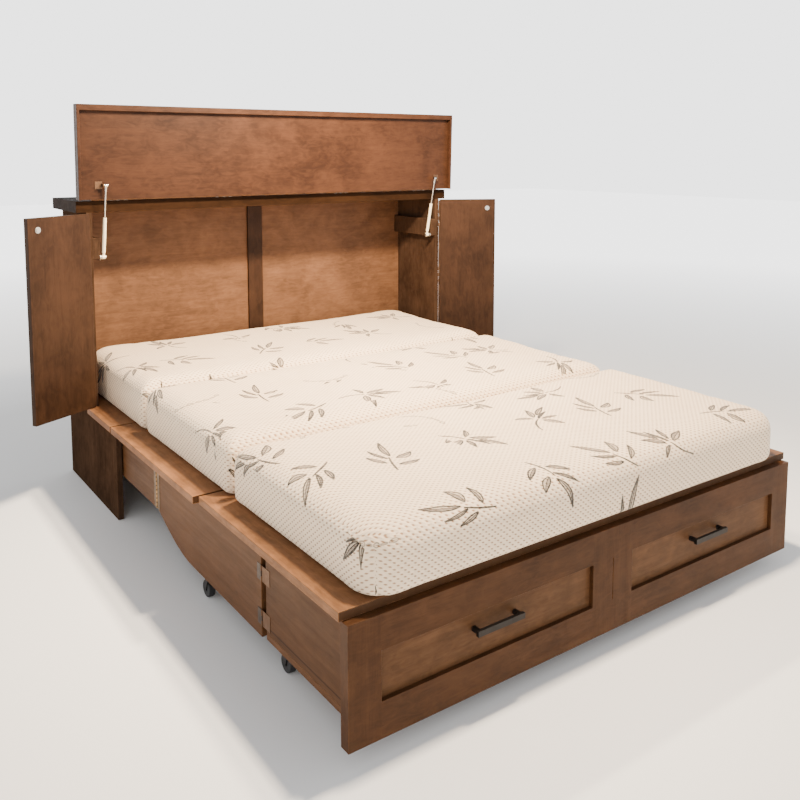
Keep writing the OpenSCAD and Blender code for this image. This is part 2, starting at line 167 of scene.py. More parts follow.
# Stained wood, as linear colours
BROWN = (0.078, 0.0345, 0.0140, 1.0)
BROWN_DRAWER = scaled(BROWN, 0.82)
BROWN_FRAME = (0.050, 0.0208, 0.0082, 1.0)
BROWN_PANEL = (0.080, 0.0370, 0.0160, 1.0)
BROWN_SIDE = (0.040, 0.0220, 0.0132, 1.0)
BROWN_WING = (0.027, 0.0128, 0.0066, 1.0)
BROWN_BACK = (0.096, 0.0460, 0.0230, 1.0)
BROWN_TOP = (0.016, 0.0072, 0.0031, 1.0)
BROWN_LID = (0.034, 0.0140, 0.0068, 1.0)
ORANGE_TAN = (0.185, 0.0840, 0.0370, 1.0)

# Mattress cover and its print
CREAM = rgb(236, 213, 182)
CREAM_SHADE = rgb(229, 203, 170)
# Painted shade for the knit's sunken stitches
KNIT_HOLLOW_SHADE = rgb(160, 122, 90)
LEAF_FILL = rgb(98, 88, 78)
LEAF_INK = rgb(20, 17, 15)

# Aged brass and dark bronze, each bright and tarnished
BRASS = (rgb(178, 140, 88), rgb(120, 88, 54))
DARK_BRONZE = (rgb(50, 35, 24), rgb(28, 20, 14))


# ---- wood ---------------------------------------------------------------------

# How coordinates are stretched for the streaks and for the flecks, by the axis of the grain
GRAIN_STRETCH = {"X": (1.0, 14.0, 14.0), "Y": (14.0, 1.0, 14.0), "Z": (14.0, 14.0, 1.0)}
FLECK_STRETCH = {"X": (0.4, 1.0, 1.0), "Y": (1.0, 0.4, 1.0), "Z": (1.0, 1.0, 0.4)}
EDGE_RADIUS = 0.0045
# Height of the groove along the drawer's sides, and the half width of the painted shade line in it,
# where the line starts to fade and where it ends
DRAWER_GROOVE_Z = 0.119
GROOVE_SHADE_HALF = (0.0012, 0.0024)
# Half width of the drawer front's middle stile, and where its end stiles start from the middle
STILE_INNER = 0.076
STILE_OUTER = 0.734


def grain_noises(s, grain, offset):
    """Streaks, pores and curl that run along one axis."""
    along = s.place(GRAIN_STRETCH[grain], (offset, offset * 0.7, offset * 1.3))
    return (s.noise(along, 3.2, 7.0, 0.62, 0.5), s.noise(along, 26.0, 3.0, 0.7),
            s.noise(along, 1.1, 2.0, 0.5, 2.2))


def framed_noises(s, grain, offset):
    """Grain of a front whose rails run along one axis and whose stiles stand upright."""
    from_middle = s.math("ABSOLUTE", s.split(s.place())[0])
    upright = s.math("ADD", s.math("GREATER_THAN", from_middle, STILE_OUTER),
                     s.math("LESS_THAN", from_middle, STILE_INNER))
    pairs = zip(grain_noises(s, grain, offset), grain_noises(s, "Z", offset + 2.3))
    return [s.ramp(upright, 0.0, 1.0, rail, stile) for rail, stile in pairs]


def stained(s, base, grain, offset, figure, noises):
    """The colour of the stain: clouds, blotches, rings, pores and pale flecks over the streaks."""
    streaks, pores, curl = noises
    free = s.place(offset=(offset, offset, offset))
    cloud = s.noise(free, 1.9, 3.0, 0.55)
    blotches = s.noise(free, 5.5, 4.0, 0.55, 0.9)
    smudge = s.noise(free, 13.0, 5.0, 0.65, 0.4)
    rings = s.math("SINE", s.math("MULTIPLY", curl, 46.0))
    fleck = s.noise(s.place(FLECK_STRETCH[grain], (offset, 0, offset)), 44.0, 4.0, 0.6, 1.4)
    # Each layer: its pattern, where it starts and is full, its strength, and how bright it is
    layers = ((cloud, 0.36, 0.66, 0.55, 1.7), (blotches, 0.4, 0.68, 0.6 * figure, 0.42),
              (smudge, 0.5, 0.74, 0.4 * figure, 0.5), (rings, -1.0, 1.0, 0.16 * figure, 0.45),
              (pores, 0.56, 0.72, 0.42, 0.3), (fleck, 0.4, 0.68, 0.24 * figure, 2.1))
    colour = s.mix(s.ramp(streaks, 0.3, 0.72), scaled(base, 0.66), scaled(base, 1.25))
    for pattern, low, high, strength, bright in layers:
        colour = s.mix(s.ramp(pattern, low, high, 0.0, strength), colour, scaled(base, bright))
    return colour


def painted_groove_shade(s, colour, base, groove):
    """Painted shade: a dark line along the groove at that height."""
    off = s.math("ABSOLUTE", s.math("SUBTRACT", s.split(s.place())[2], groove))
    return s.mix(s.ramp(off, *GROOVE_SHADE_HALF, 0.8, 0.0), colour, scaled(base, 0.2))


def painted_front_shade(s, colour, base):
    """Painted shade: darkens the faces that look towards the foot, standing in for the shadow under
    the mattress's front edge.
    """
    forward = s.split(s.normal())[1]
    return s.mix(s.ramp(forward, -0.75, -0.95, 0.0, 0.85), colour, scaled(base, 0.16))


def rubbed_edges(s, colour, base, offset, worn):
    """Pale wood where the stain has rubbed off the edges."""
    bevel = s.node("Bevel", {"Radius": EDGE_RADIUS}, samples=6).outputs[0]
    facing = s.node("VectorMath", {0: bevel, 1: s.normal()}, operation="DOT_PRODUCT")
    edge = s.ramp(facing.outputs["Value"], 0.97, 0.8)
    free = s.place(offset=(offset, offset, offset))
    rubbed = s.ramp(s.noise(free, 24.0, 5.0, 0.65), 0.4, 0.68)
    bare = s.math("MULTIPLY", s.math("MULTIPLY", edge, rubbed), worn)
    return s.mix(bare, colour, scaled(base, 2.7))


def wood(name, base, grain, offset, figure=1.0, worn=0.5, rough=0.42, gloss=0.08,
         framed=False, groove=None, shade_front=False):
    """Dark stained maple: blotches in the stain, streaks and pores along the grain, worn edges."""
    s = Shader(name)
    noises = (framed_noises if framed else grain_noises)(s, grain, offset)
    colour = stained(s, base, grain, offset, figure, noises)
    if groove:
        # Painted shade along the drawer sides' groove
        colour = painted_groove_shade(s, colour, base, groove)
    # Painted shade on the faces that look towards the foot
    if shade_front:
        colour = painted_front_shade(s, colour, base)
    streaks, pores, _ = noises
    s.set(Base_Color=rubbed_edges(s, colour, base, offset, worn), Specular_IOR_Level=gloss,
          Roughness=s.ramp(streaks, 0.2, 0.8, rough + 0.1, rough - 0.06))
    relief = s.math("ADD", s.math("MULTIPLY", streaks, 0.6), s.math("MULTIPLY", pores, 0.5))
    s.bump(relief, 0.0006, 0.5)
    return s.mat


# ---- metal and rubber ---------------------------------------------------------

# The rear fold's brass hinge: its line, its knuckles' pitch and half width, and its leaves' reach
FOLD_LINE_Y = 0.137
KNUCKLE_PITCH = 0.014
KNUCKLE_HALF = 0.0045
LEAF_REACH = 0.05


def metal(name, colour, rough, metallic=1.0, brushed=0.0, specks=0.0):
    """Metal or paint with fine scratches and a little uneven tarnish."""
    s = Shader(name)
    fine = s.noise(s.place((1, 1, 40)), 30.0, 4.0, 0.6)
    worn = s.noise(s.place(), 42.0, 5.0, 0.6)
    tint = s.mix(s.ramp(worn, 0.35, 0.75, 0.0, 0.5), colour, scaled(colour, 0.62))
    tint = s.mix(s.ramp(fine, 0.55, 0.8, 0.0, 0.4 * specks), tint, scaled(colour, 1.6))
    s.set(Base_Color=tint, Roughness=s.ramp(worn, 0.3, 0.7, rough - 0.05, rough + 0.1),
          Metallic=metallic)
    s.bump(s.math("ADD", s.math("MULTIPLY", fine, brushed), worn), 0.0002, 0.3)
    return s.mat


def piano_hinge(name):
    """Aged brass at the rear fold line, with tarnished seams; dark bronze by the drawer."""
    s = Shader(name)
    _, y, z = s.split(s.place())
    worn = s.noise(s.place(), 60.0, 5.0, 0.6)
    bright = s.mix(s.ramp(worn, 0.35, 0.7), *BRASS)
    dull = s.mix(s.ramp(worn, 0.35, 0.7), *DARK_BRONZE)
    from_line = s.math("ABSOLUTE", s.math("SUBTRACT", y, FOLD_LINE_Y))
    on_line = s.math("LESS_THAN", from_line, KNUCKLE_HALF)
    on_leaf = s.math("LESS_THAN", from_line, LEAF_REACH)
    knuckle = s.math("SINE", s.math("MULTIPLY", z, 2 * math.pi / KNUCKLE_PITCH))
    colour = s.mix(s.math("MULTIPLY", on_leaf, 0.3), dull, bright)
    colour = s.mix(s.math("MULTIPLY", on_line, s.math("GREATER_THAN", knuckle, -0.35)),
                   colour, bright)
    s.set(Base_Color=colour, Roughness=s.ramp(worn, 0.3, 0.7, 0.34, 0.5), Metallic=0.4)
    s.bump(worn, 0.0002, 0.3)
    return s.mat


def rubber(name, colour):
    """Moulded black tread with scuffs and grit."""
    s = Shader(name)
    scuffs = s.noise(s.place(), 90.0, 6.0, 0.7)
    tint = s.mix(s.ramp(scuffs, 0.5, 0.75, 0.0, 0.7), colour, scaled(colour, 3.2))
    s.set(Base_Color=tint, Roughness=s.ramp(scuffs, 0.3, 0.8, 0.5, 0.85))
    s.bump(scuffs, 0.0004, 0.5)
    return s.mat


# ---- the mattress cover's knit and print --------------------------------------

KNIT_STITCH = 0.0185
KNIT_ROW = 0.0076
LINE_HALF = 0.0023
SPRIG_PITCH = 0.262
# Each motif's cells have a random pick up to this share, and the cane takes the rest
SIDE_SPRIG_TO = 0.42
FAN_SPRIG_TO = 0.8
LEAF_MEASURES = ("Base X", "Base Y", "Angle", "Length", "Width", "Bend")
# Leaves of each sprig: base x, base y, angle in degrees, length, half width, bend
SIDE_SPRIG = [(-0.050, 0.014, 54, 0.066, 0.0075, 0.003), (-0.020, 0.010, 43, 0.078, 0.0055, 0.004),
              (0.000, 0.004, 15, 0.108, 0.0085, 0.004), (-0.012, -0.012, -40, 0.062, 0.0115, -0.007),
              (-0.058, -0.016, -58, 0.066, 0.0080, -0.004), (-0.098, -0.012, 12, 0.092, 0.0012, 0.003)]
FAN_SPRIG = [(-0.006, 0.012, 126, 0.066, 0.0110, 0.002), (-0.014, 0.002, 180, 0.058, 0.0060, 0.003),
             (-0.004, -0.003, 213, 0.078, 0.0040, 0.004), (-0.022, -0.032, 217, 0.088, 0.0080, 0.003),
             (0.002, -0.018, 249, 0.074, 0.0090, -0.003), (0.012, -0.010, -24, 0.056, 0.0070, -0.005),
             (0.000, 0.000, 56, 0.098, 0.0011, -0.012)]
# The cane's links: how many, their pitch, their half widths in turn, their first heading in
# degrees and how much each turns from the last
CANE_LINKS = 7
CANE_PITCH = 0.027
CANE_HALVES = (0.0062, 0.0024)
CANE_START = (-0.07, -0.05)
CANE_HEADING = 74
CANE_TURN = 15


def leaf_group():
    """Node group for one printed leaf: its outline and its fill, from the print's coordinates."""
    group = bpy.data.node_groups.new("printed_leaf", "ShaderNodeTree")
    group.interface.new_socket("Vector", in_out="INPUT", socket_type="NodeSocketVector")
    for name in LEAF_MEASURES:
        group.interface.new_socket(name, in_out="INPUT", socket_type="NodeSocketFloat")
    for name in ("Ink", "Fill"):
        group.interface.new_socket(name, in_out="OUTPUT", socket_type="NodeSocketFloat")
    g = Nodes(group)
    given = group.nodes.new("NodeGroupInput").outputs
    result = group.nodes.new("NodeGroupOutput").inputs
    base = g.node("CombineXYZ", {0: given["Base X"], 1: given["Base Y"]}).outputs[0]
    away = g.node("VectorMath", {0: given["Vector"], 1: base}, operation="SUBTRACT").outputs[0]
    angle = g.math("MULTIPLY", given["Angle"], -1.0)
    turned = g.node("VectorRotate", {"Vector": away, "Angle": angle}, rotation_type="Z_AXIS")
    forward, sideways, _ = g.split(turned.outputs[0])
    along = g.math("DIVIDE", forward, given["Length"])
    inside = g.math("MULTIPLY", g.math("GREATER_THAN", along, 0.0), g.math("LESS_THAN", along, 1.0))
    curve = g.math("MULTIPLY", g.math("MULTIPLY", along, g.math("SUBTRACT", 1.0, along)), 4.0)
    across = g.math("SUBTRACT", sideways, g.math("MULTIPLY", given["Bend"], curve))
    # A leaf is fullest a third of the way along
    taper = g.math("MULTIPLY", curve, g.math("SUBTRACT", 1.25, g.math("MULTIPLY", along, 0.6)))
    reach = g.math("SUBTRACT", g.math("ABSOLUTE", across), g.math("MULTIPLY", given["Width"], taper))
    outline = g.math("LESS_THAN", g.math("ABSOLUTE", reach), LINE_HALF)
    rib = g.math("LESS_THAN", g.math("ABSOLUTE", across), LINE_HALF * 0.5)
    filled = g.math("MULTIPLY", g.math("LESS_THAN", reach, 0.0), inside)
    line = g.math("MAXIMUM", outline, g.math("MULTIPLY", rib, filled))
    # One half of a leaf is darker than the other
    shade = g.math("ADD", 0.65, g.math("MULTIPLY", g.math("GREATER_THAN", across, 0.0), 0.35))
    g.put(g.math("MULTIPLY", line, inside), result["Ink"])
    g.put(g.math("MULTIPLY", filled, shade), result["Fill"])
    return group


def in_radians(leaves):
    return [(x, y, math.radians(angle), *shape) for x, y, angle, *shape in leaves]


def cane_leaves():
    """The links of a curved cane, as leaves laid end to end."""
    links = []
    point = Vector(CANE_START)
    for i in range(CANE_LINKS):
        heading = math.radians(CANE_HEADING - CANE_TURN * i)
        links.append((point.x, point.y, heading, CANE_PITCH * 0.94, CANE_HALVES[i % 2], 0.0))
        point += CANE_PITCH * Vector((math.cos(heading), math.sin(heading)))
    return links


def leaf_print(s):
    """Ink and fill of the print: one motif in each cell, turned at random."""
    where = s.node("UVMap", uv_map="print").outputs[0]
    cell = s.node("TexVoronoi", {"Vector": where, "Scale": 1 / SPRIG_PITCH, "Randomness": 0.36},
                  voronoi_dimensions="2D")
    centre = cell.outputs["Position"]
    away = s.node("VectorMath", {0: where, 1: centre}, operation="SUBTRACT").outputs[0]
    chance = s.node("TexWhiteNoise", {"Vector": centre}, noise_dimensions="2D")
    angle = s.math("MULTIPLY", chance.outputs["Value"], 2 * math.pi)
    local = s.node("VectorRotate", {"Vector": away, "Angle": angle},
                   rotation_type="Z_AXIS").outputs[0]
    pick = s.node("SeparateColor", {0: chance.outputs["Color"]}).outputs[1]
    group = leaf_group()

    def motif(leaves, low, high):
        """Ink and fill of one motif, shown in the cells whose pick lies from low to high."""
        ink = fill = 0.0
        for leaf in leaves:
            measures = dict(zip(LEAF_MEASURES, leaf))
            one = s.node("Group", {"Vector": local, **measures}, node_tree=group)
            ink = s.math("MAXIMUM", one.outputs["Ink"], ink)
            fill = s.math("MAXIMUM", one.outputs["Fill"], fill)
        chosen = s.math("MULTIPLY", s.math("GREATER_THAN", pick, low), s.math("LESS_THAN", pick, high))
        return s.math("MULTIPLY", ink, chosen), s.math("MULTIPLY", fill, chosen)

    side_ink, side_fill = motif(in_radians(SIDE_SPRIG), -1.0, SIDE_SPRIG_TO)
    fan_ink, fan_fill = motif(in_radians(FAN_SPRIG), SIDE_SPRIG_TO, FAN_SPRIG_TO)
    cane_ink, _ = motif(cane_leaves(), FAN_SPRIG_TO, 2.0)
    ink = s.math("ADD", s.math("MAXIMUM", side_ink, fan_ink), s.math("MULTIPLY", cane_ink, 0.62))
    return ink, s.math("MAXIMUM", side_fill, fan_fill)


def knit_pattern(s):
    """Offset rows of short slanted stitches, level on the sides and across on the top."""
    x, y, z = s.split(s.place())
    facing = s.split(s.normal())
    sideways = s.math("GREATER_THAN", s.math("ABSOLUTE", facing[0]), 0.64)
    upward = s.math("GREATER_THAN", s.math("ABSOLUTE", facing[2]), 0.7)
    along_y = s.math("MULTIPLY", sideways, s.math("SUBTRACT", 1.0, upward))
    u = s.ramp(along_y, 0.0, 1.0, x, y)
    v = s.ramp(upward, 0.0, 1.0, z, y)
    row = s.math("DIVIDE", v, KNIT_ROW)
    phase = s.math("MULTIPLY", s.math("FLOOR", row), math.pi)
    in_row = s.math("FRACT", row)
    lean = s.math("MULTIPLY", in_row, 1.9)
    turn = s.math("ADD", s.math("MULTIPLY", u, 2 * math.pi / KNIT_STITCH), phase)
    stitch = s.math("SINE", s.math("ADD", turn, lean))
    across = s.math("SINE", s.math("MULTIPLY", in_row, math.pi))
    return s.math("MULTIPLY", stitch, s.math("POWER", across, 2.0))


def ticking(name):
    """Cream knitted mattress cover: rows of stitches, with painted shade where the bump sinks them,
    and a scattered leaf print.
    """
    s = Shader(name)
    knit = knit_pattern(s)
    ink, fill = leaf_print(s)
    fade = s.ramp(s.noise(s.place(), 60.0, 3.0, 0.6), 0.3, 0.7, 0.75, 1.0)
    warm = s.noise(s.place(), 9.0, 3.0, 0.5)
    colour = s.mix(s.ramp(warm, 0.35, 0.7, 0.0, 0.5), CREAM, CREAM_SHADE)
    # Painted shade: the knit is darkest where its bump is lowest
    colour = s.mix(s.ramp(knit, 0.15, 0.8), colour, KNIT_HOLLOW_SHADE)
    colour = s.mix(s.math("MULTIPLY", fill, 0.75), colour, LEAF_FILL)
    colour = s.mix(s.math("MULTIPLY", ink, fade), colour, LEAF_INK)
    s.set(Base_Color=colour, Roughness=0.9, Sheen_Weight=0.2, Sheen_Roughness=0.5,
          Specular_IOR_Level=0.2)
    fuzz = s.noise(s.place(), 900.0, 2.0, 0.6)
    relief = s.math("ADD", s.math("MULTIPLY", knit, -1.0), s.math("MULTIPLY", fuzz, 0.25))
    s.bump(relief, 0.0014, 0.8)
    return s.mat


# ---- the materials ------------------------------------------------------------

wood_front_rail = wood("wood_front_rail", BROWN_FRAME, "X", 3.1, worn=0.75, framed=True)
wood_front_panel = wood("wood_front_panel", BROWN_PANEL, "X", 8.4, figure=0.8, worn=0.4)
wood_side = wood("wood_side", BROWN_SIDE, "Z", 1.7, worn=0.6, gloss=0.0)
wood_support = wood("wood_support", BROWN, "Y", 5.2, figure=0.5)
wood_drawer_side = wood("wood_drawer_side", BROWN_DRAWER, "Y", 6.6, figure=0.5, groove=DRAWER_GROOVE_Z)
wood_wing = wood("wood_wing", BROWN_WING, "Z", 9.9, figure=1.1, worn=0.6)
wood_lid = wood("wood_lid", BROWN_LID, "X", 12.3, figure=1.2, worn=0.7)
wood_top = wood("wood_top", BROWN_TOP, "X", 15.8, rough=0.6, gloss=0.02)
wood_back = wood("wood_back", BROWN_BACK, "X", 20.1, figure=0.9, worn=0.2)
wood_stile = wood("wood_stile", BROWN_WING, "Z", 23.5)
# The platform's faces towards the foot get painted shade
wood_platform = wood("wood_platform", ORANGE_TAN, "Y", 27.2, worn=1.0, shade_front=True)
wood_hidden = wood("wood_hidden", BROWN_WING, "X", 31.0, worn=0.3)

black = metal("black_metal", rgb(28, 25, 24), 0.42, 0.6, specks=0.5)
steel = metal("zinc_steel", rgb(188, 184, 176), 0.34, brushed=1.0, specks=0.6)
hinge_brass = piano_hinge("aged_brass")
ivory_paint = metal("ivory_paint", rgb(238, 222, 190), 0.35, 0.0)
chrome = metal("chromed_rod", rgb(205, 203, 200), 0.14)
bronze = metal("dark_bronze", rgb(96, 70, 50), 0.45, 0.8, specks=0.4)
tread = rubber("caster_tread", rgb(26, 25, 25))
cover = ticking("mattress_ticking")

MATERIAL_OF = {
    "side_left": wood_side, "side_right": wood_side, "back_panels": wood_back,
    "back_stile": wood_stile, "cabinet_rails": wood_hidden, "top_board": wood_top,
    "strut_cleats": wood_side, "platform_head": wood_platform, "strut_studs": steel,
    "lid_panel": wood_lid, "lid_lips": wood_lid, "lid_hinge_fixed": steel,
    "lid_hinge_moving": steel, "lid_strut_brackets": bronze, "wing_hinge_fixed": steel,
    "platform_mid": wood_platform, "platform_front": wood_platform,
    "head_hinge_fixed": steel, "platform_mid_hinges": steel, "platform_front_hinges": steel,
    "cabinet_support_hinges": bronze, "drawer_support_hinges": bronze,
    "drawer_front_frame": wood_front_rail, "drawer_panels": wood_front_panel,
    "drawer_sides": wood_drawer_side, "drawer_back": wood_hidden, "drawer_bottom": wood_support,
    "drawer_pulls": black, "drawer_caster_plates": steel,
}
for side in ("left", "right"):
    MATERIAL_OF[f"strut_tube_{side}"] = ivory_paint
    MATERIAL_OF[f"strut_rod_{side}"] = chrome
    MATERIAL_OF[f"wing_{side}"] = wood_wing
    MATERIAL_OF[f"wing_hinge_{side}"] = steel
    MATERIAL_OF[f"wing_catch_{side}"] = steel
    MATERIAL_OF[f"support_caster_plate_{side}"] = steel
    for part in ("rear_support", "front_support"):
        MATERIAL_OF[f"{part}_{side}"] = wood_support
        MATERIAL_OF[f"{part}_hinges_{side}"] = hinge_brass
    for part in ("support", "drawer"):
        MATERIAL_OF[f"{part}_fork_{side}"] = black
        MATERIAL_OF[f"{part}_wheel_{side}"] = tread


# ---- CAD nodes: materials and rounded edges ------------------------------------

WELD_DISTANCE = 0.00002
EASED_EDGE = 0.0016
EASED_ANGLE = 40


def dress(name, material):
    """Gives a CAD node its material, and eases the arrises of a wooden one."""
    piece = nodes[name]
    piece.data.materials.clear()
    piece.data.materials.append(material)
    if material.name.startswith("wood_"):
        weld = piece.modifiers.new("weld", "WELD")
        weld.merge_threshold = WELD_DISTANCE
        ease = piece.modifiers.new("ease", "BEVEL")
        ease.width = EASED_EDGE
        ease.segments = 3
        ease.limit_method = "ANGLE"
        ease.angle_limit = math.radians(EASED_ANGLE)
        ease.harden_normals = True


for node_name, node_material in MATERIAL_OF.items():
    dress(node_name, node_material)


# ---- new meshes ---------------------------------------------------------------

def stacked_mesh(name, rings):
    """A closed mesh through rings of points, from the first ring to the last."""
    bm = bmesh.new()
    loops = [[bm.verts.new(point) for point in ring] for ring in rings]
    for low, high in zip(loops, loops[1:]):
        for i in range(len(low)):
            j = (i + 1) % len(low)
            bm.faces.new((low[i], low[j], high[j], high[i]))
    bm.faces.new(list(reversed(loops[0])))
    bm.faces.new(loops[-1])
    mesh = bpy.data.meshes.new(name)
    bm.to_mesh(mesh)
    bm.free()
    return mesh


def placed(name, data):
    """A new object of the scene, with this mesh, lamp or camera."""
    made = bpy.data.objects.new(name, data)
    bpy.context.scene.collection.objects.link(made)
    return made


# ---- dark pins along the hinge lines: painted shade that fills the gaps between the knuckles ---

LID_PIN_RADIUS = 0.0046
LID_PIN_HALF = 0.800
WING_PIN_RADIUS = 0.0038
WING_PIN_Z = (0.356, 1.070)
PIN_SIDES = 16
PIN_SMOOTH_ANGLE = 50
# Drawn rings along a pin: their pitch, their half width, and how much of the radius they leave
RING_PITCH = 0.1
RING_HALF = 0.0006
RING_WAIST = 0.9
PIN_END = 0.7


def pin_mesh(name, start, end, radius):
    """A round rod from start to end with eased ends and a few drawn rings along it."""
    way = (end - start).normalized()
    side = way.orthogonal().normalized()
    other = way.cross(side)
    length = (end - start).length
    stations = [(0.0, PIN_END), (RING_HALF, 1.0)]
    count = int(length / RING_PITCH)
    for i in range(1, count):
        at = length * i / count
        stations += [(at - RING_HALF, 1.0), (at, RING_WAIST), (at + RING_HALF, 1.0)]
    stations += [(length - RING_HALF, 1.0), (length, PIN_END)]
    turns = [2 * math.pi * k / PIN_SIDES for k in range(PIN_SIDES)]
    return stacked_mesh(name, [[start + way * at + radius * share * (
        side * math.cos(a) + other * math.sin(a)) for a in turns] for at, share in stations])


def add_pin(name, start, end, radius):
    """Adds a dark pin, painted shade along a hinge line, that rides on the cabinet."""
    mesh = pin_mesh(name, Vector(start), Vector(end), radius)
    piece = placed(name, mesh)
    mesh.materials.append(bronze)
    mesh.shade_smooth()
    mesh.set_sharp_from_angle(angle=math.radians(PIN_SMOOTH_ANGLE))
    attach(piece, "root")


def joint_point(name):
    return Vector(next(j for j in frame["joints"] if j["name"] == name)["pos_m"])


def make_shade_pins():
    # The lid's and the wings' hinge gaps get dark pins as painted shade
    x, y, z = joint_point("lid_hinge")
    add_pin("lid_shade_pin", (x - LID_PIN_HALF, y, z), (x + LID_PIN_HALF, y, z), LID_PIN_RADIUS)
    low, high = WING_PIN_Z
    for side in ("left", "right"):
        x, y, _ = joint_point(f"wing_{side}_swing")
        add_pin(f"wing_shade_pin_{side}", (x, y, low), (x, y, high), WING_PIN_RADIUS)


make_shade_pins()


# ---- mattress ------------------------------------------------------------------

SECTIONS = ("head", "mid", "foot")
# Radii: the corners in plan at the two ends of the bed and where sections meet, and the long edges
OUTER_CORNER = 0.085
JOINT_CORNER = 0.030
LEAST_CORNER = 0.01
TOP_EDGE = 0.050
BOTTOM_EDGE = 0.013
CORNER_STEPS = 8
EDGE_STEPS = 6
# Before it is padded out, a section reaches past its foam box at the sides and at the foot, and
# stays short of it where it meets the platform or a section, and on top
SIDE_GROWTH = 0.011
FOOT_GROWTH = 0.009
JOINT_ROOM = 0.001
TOP_ROOM = 0.002
# Padding: the size of the cloth's squares, how long it swells and how far a point may move
VOXEL = 0.011
SWELL_FRAMES = 20
SWELL_CAP = 0.012
# The settled cover: gaps under it and at the joints, how far the foot bulges, and slow waves on top
REST_GAP = 0.0006
SNUG_GAP = 0.0002
FRONT_BULGE = 0.018
WAVE_HEIGHT = 0.0016
WAVE_DEPTH = 0.03
# The top slopes: up towards the head, level at the turn, down towards the foot
HEAD_RISE = 0.008
FOOT_DROP = 0.006
SLOPE_Y = (-1.06, -0.2, 1.03)
# How far from the sides the print starts to fold down
PRINT_BAND = 0.05


def rounded_outline(lo, hi, front_corner, rear_corner):
    """Plan outline of a mattress section, counter-clockwise from the front left."""
    points = []
    corners = [(lo.x, lo.y, front_corner, 180), (hi.x, lo.y, front_corner, 270),
               (hi.x, hi.y, rear_corner, 0), (lo.x, hi.y, rear_corner, 90)]
    for x, y, r, start in corners:
        cx = x + r if x == lo.x else x - r
        cy = y + r if y == lo.y else y - r
        for i in range(CORNER_STEPS + 1):
            a = math.radians(start + 90 * i / CORNER_STEPS)
            points.append(Vector((cx + r * math.cos(a), cy + r * math.sin(a))))
    return points


def section_mesh(name, lo, hi, front_corner, rear_corner):
    """A closed block with rounded corners and edges, before it is padded out."""
    angles = [math.radians(90 * i / EDGE_STEPS) for i in range(EDGE_STEPS + 1)]
    levels = [(lo.z + BOTTOM_EDGE * (1 - math.cos(a)), BOTTOM_EDGE * (1 - math.sin(a)))
              for a in angles]
    levels += [(hi.z - TOP_EDGE * (1 - math.sin(a)), TOP_EDGE * (1 - math.cos(a)))
               for a in angles]
    rings = []
    for z, inset in levels:
        outline = rounded_outline(lo + Vector((inset, inset, 0)), hi - Vector((inset, inset, 0)),
                                  max(front_corner - inset, LEAST_CORNER),
                                  max(rear_corner - inset, LEAST_CORNER))
        rings.append([(p.x, p.y, z) for p in outline])
    return stacked_mesh(name, rings)


def evaluated_mesh(piece):
    depsgraph = bpy.context.evaluated_depsgraph_get()
    return bpy.data.meshes.new_from_object(piece.evaluated_get(depsgraph), depsgraph=depsgraph)


def coordinates(mesh):
    co = np.zeros(len(mesh.vertices) * 3, np.float64)
    mesh.vertices.foreach_get("co", co)
    return co.reshape(-1, 3)


def make_section(which, lo, hi):
    """One section in even squares, ready to be padded out."""
    front = OUTER_CORNER if which == "foot" else JOINT_CORNER
    rear = OUTER_CORNER if which == "head" else JOINT_CORNER
    front_room = -FOOT_GROWTH if which == "foot" else JOINT_ROOM
    block_lo = lo + Vector((-SIDE_GROWTH, front_room, JOINT_ROOM))
    block_hi = hi - Vector((-SIDE_GROWTH, JOINT_ROOM, TOP_ROOM))
    block = section_mesh(f"cover_{which}", block_lo, block_hi, front, rear)
    piece = placed(f"mattress_cover_{which}", block)
    squares = piece.modifiers.new("voxels", "REMESH")
    squares.mode = "VOXEL"
    squares.voxel_size = VOXEL
    fine = evaluated_mesh(piece)
    piece.modifiers.clear()
    piece.data = fine
    return piece


def swell(pieces):
    """Pads the pieces out by pressure, as cloth, and caps how far a point may move."""
    starts = [coordinates(piece.data) for piece in pieces]
    for piece in pieces:
        cloth = piece.modifiers.new("cloth", "CLOTH").settings
        cloth.quality = 4
        cloth.use_pressure = True
        cloth.uniform_pressure_force = 4.0
        cloth.effector_weights.gravity = 0.0
        cloth.tension_stiffness = 12.0
        cloth.compression_stiffness = 12.0
        cloth.shear_stiffness = 4.0
    scene = bpy.context.scene
    for step in range(1, SWELL_FRAMES + 1):
        scene.frame_set(step)
        bpy.context.view_layer.update()
    ends = [coordinates(evaluated_mesh(piece)) for piece in pieces]
    scene.frame_set(1)
    for piece, start, end in zip(pieces, starts, ends):
        piece.modifiers.clear()
        move = end - start
        far = np.linalg.norm(move, axis=1, keepdims=True)
        move *= SWELL_CAP * np.tanh(far / SWELL_CAP) / np.maximum(far, 1e-9)
        piece.data.vertices.foreach_set("co", (start + move).ravel())
        piece.data.update()


def settle(piece, which, lo, hi):
    """Rests the padded cover on the platform and against its neighbours, and evens its top."""
    co = coordinates(piece.data)
    co[:, 2] = np.maximum(co[:, 2], lo.z + REST_GAP)
    bulge = FRONT_BULGE if which == "foot" else -SNUG_GAP
    co[:, 1] = np.clip(co[:, 1], lo.y - bulge, hi.y - SNUG_GAP)
    wave = np.sin(co[:, 0] * 9.1 + lo.y * 5) * np.cos(co[:, 1] * 11.3 + 1.7)
    near_top = np.clip((co[:, 2] - (hi.z - WAVE_DEPTH)) / WAVE_DEPTH, 0, 1)
    co[:, 2] += WAVE_HEIGHT * wave * near_top
    reach = np.clip((co[:, 2] - lo.z) / (hi.z - lo.z), 0, 1)
    co[:, 2] += np.interp(co[:, 1], SLOPE_Y, (-FOOT_DROP, 0.0, HEAD_RISE)) * reach
    piece.data.vertices.foreach_set("co", co.ravel())


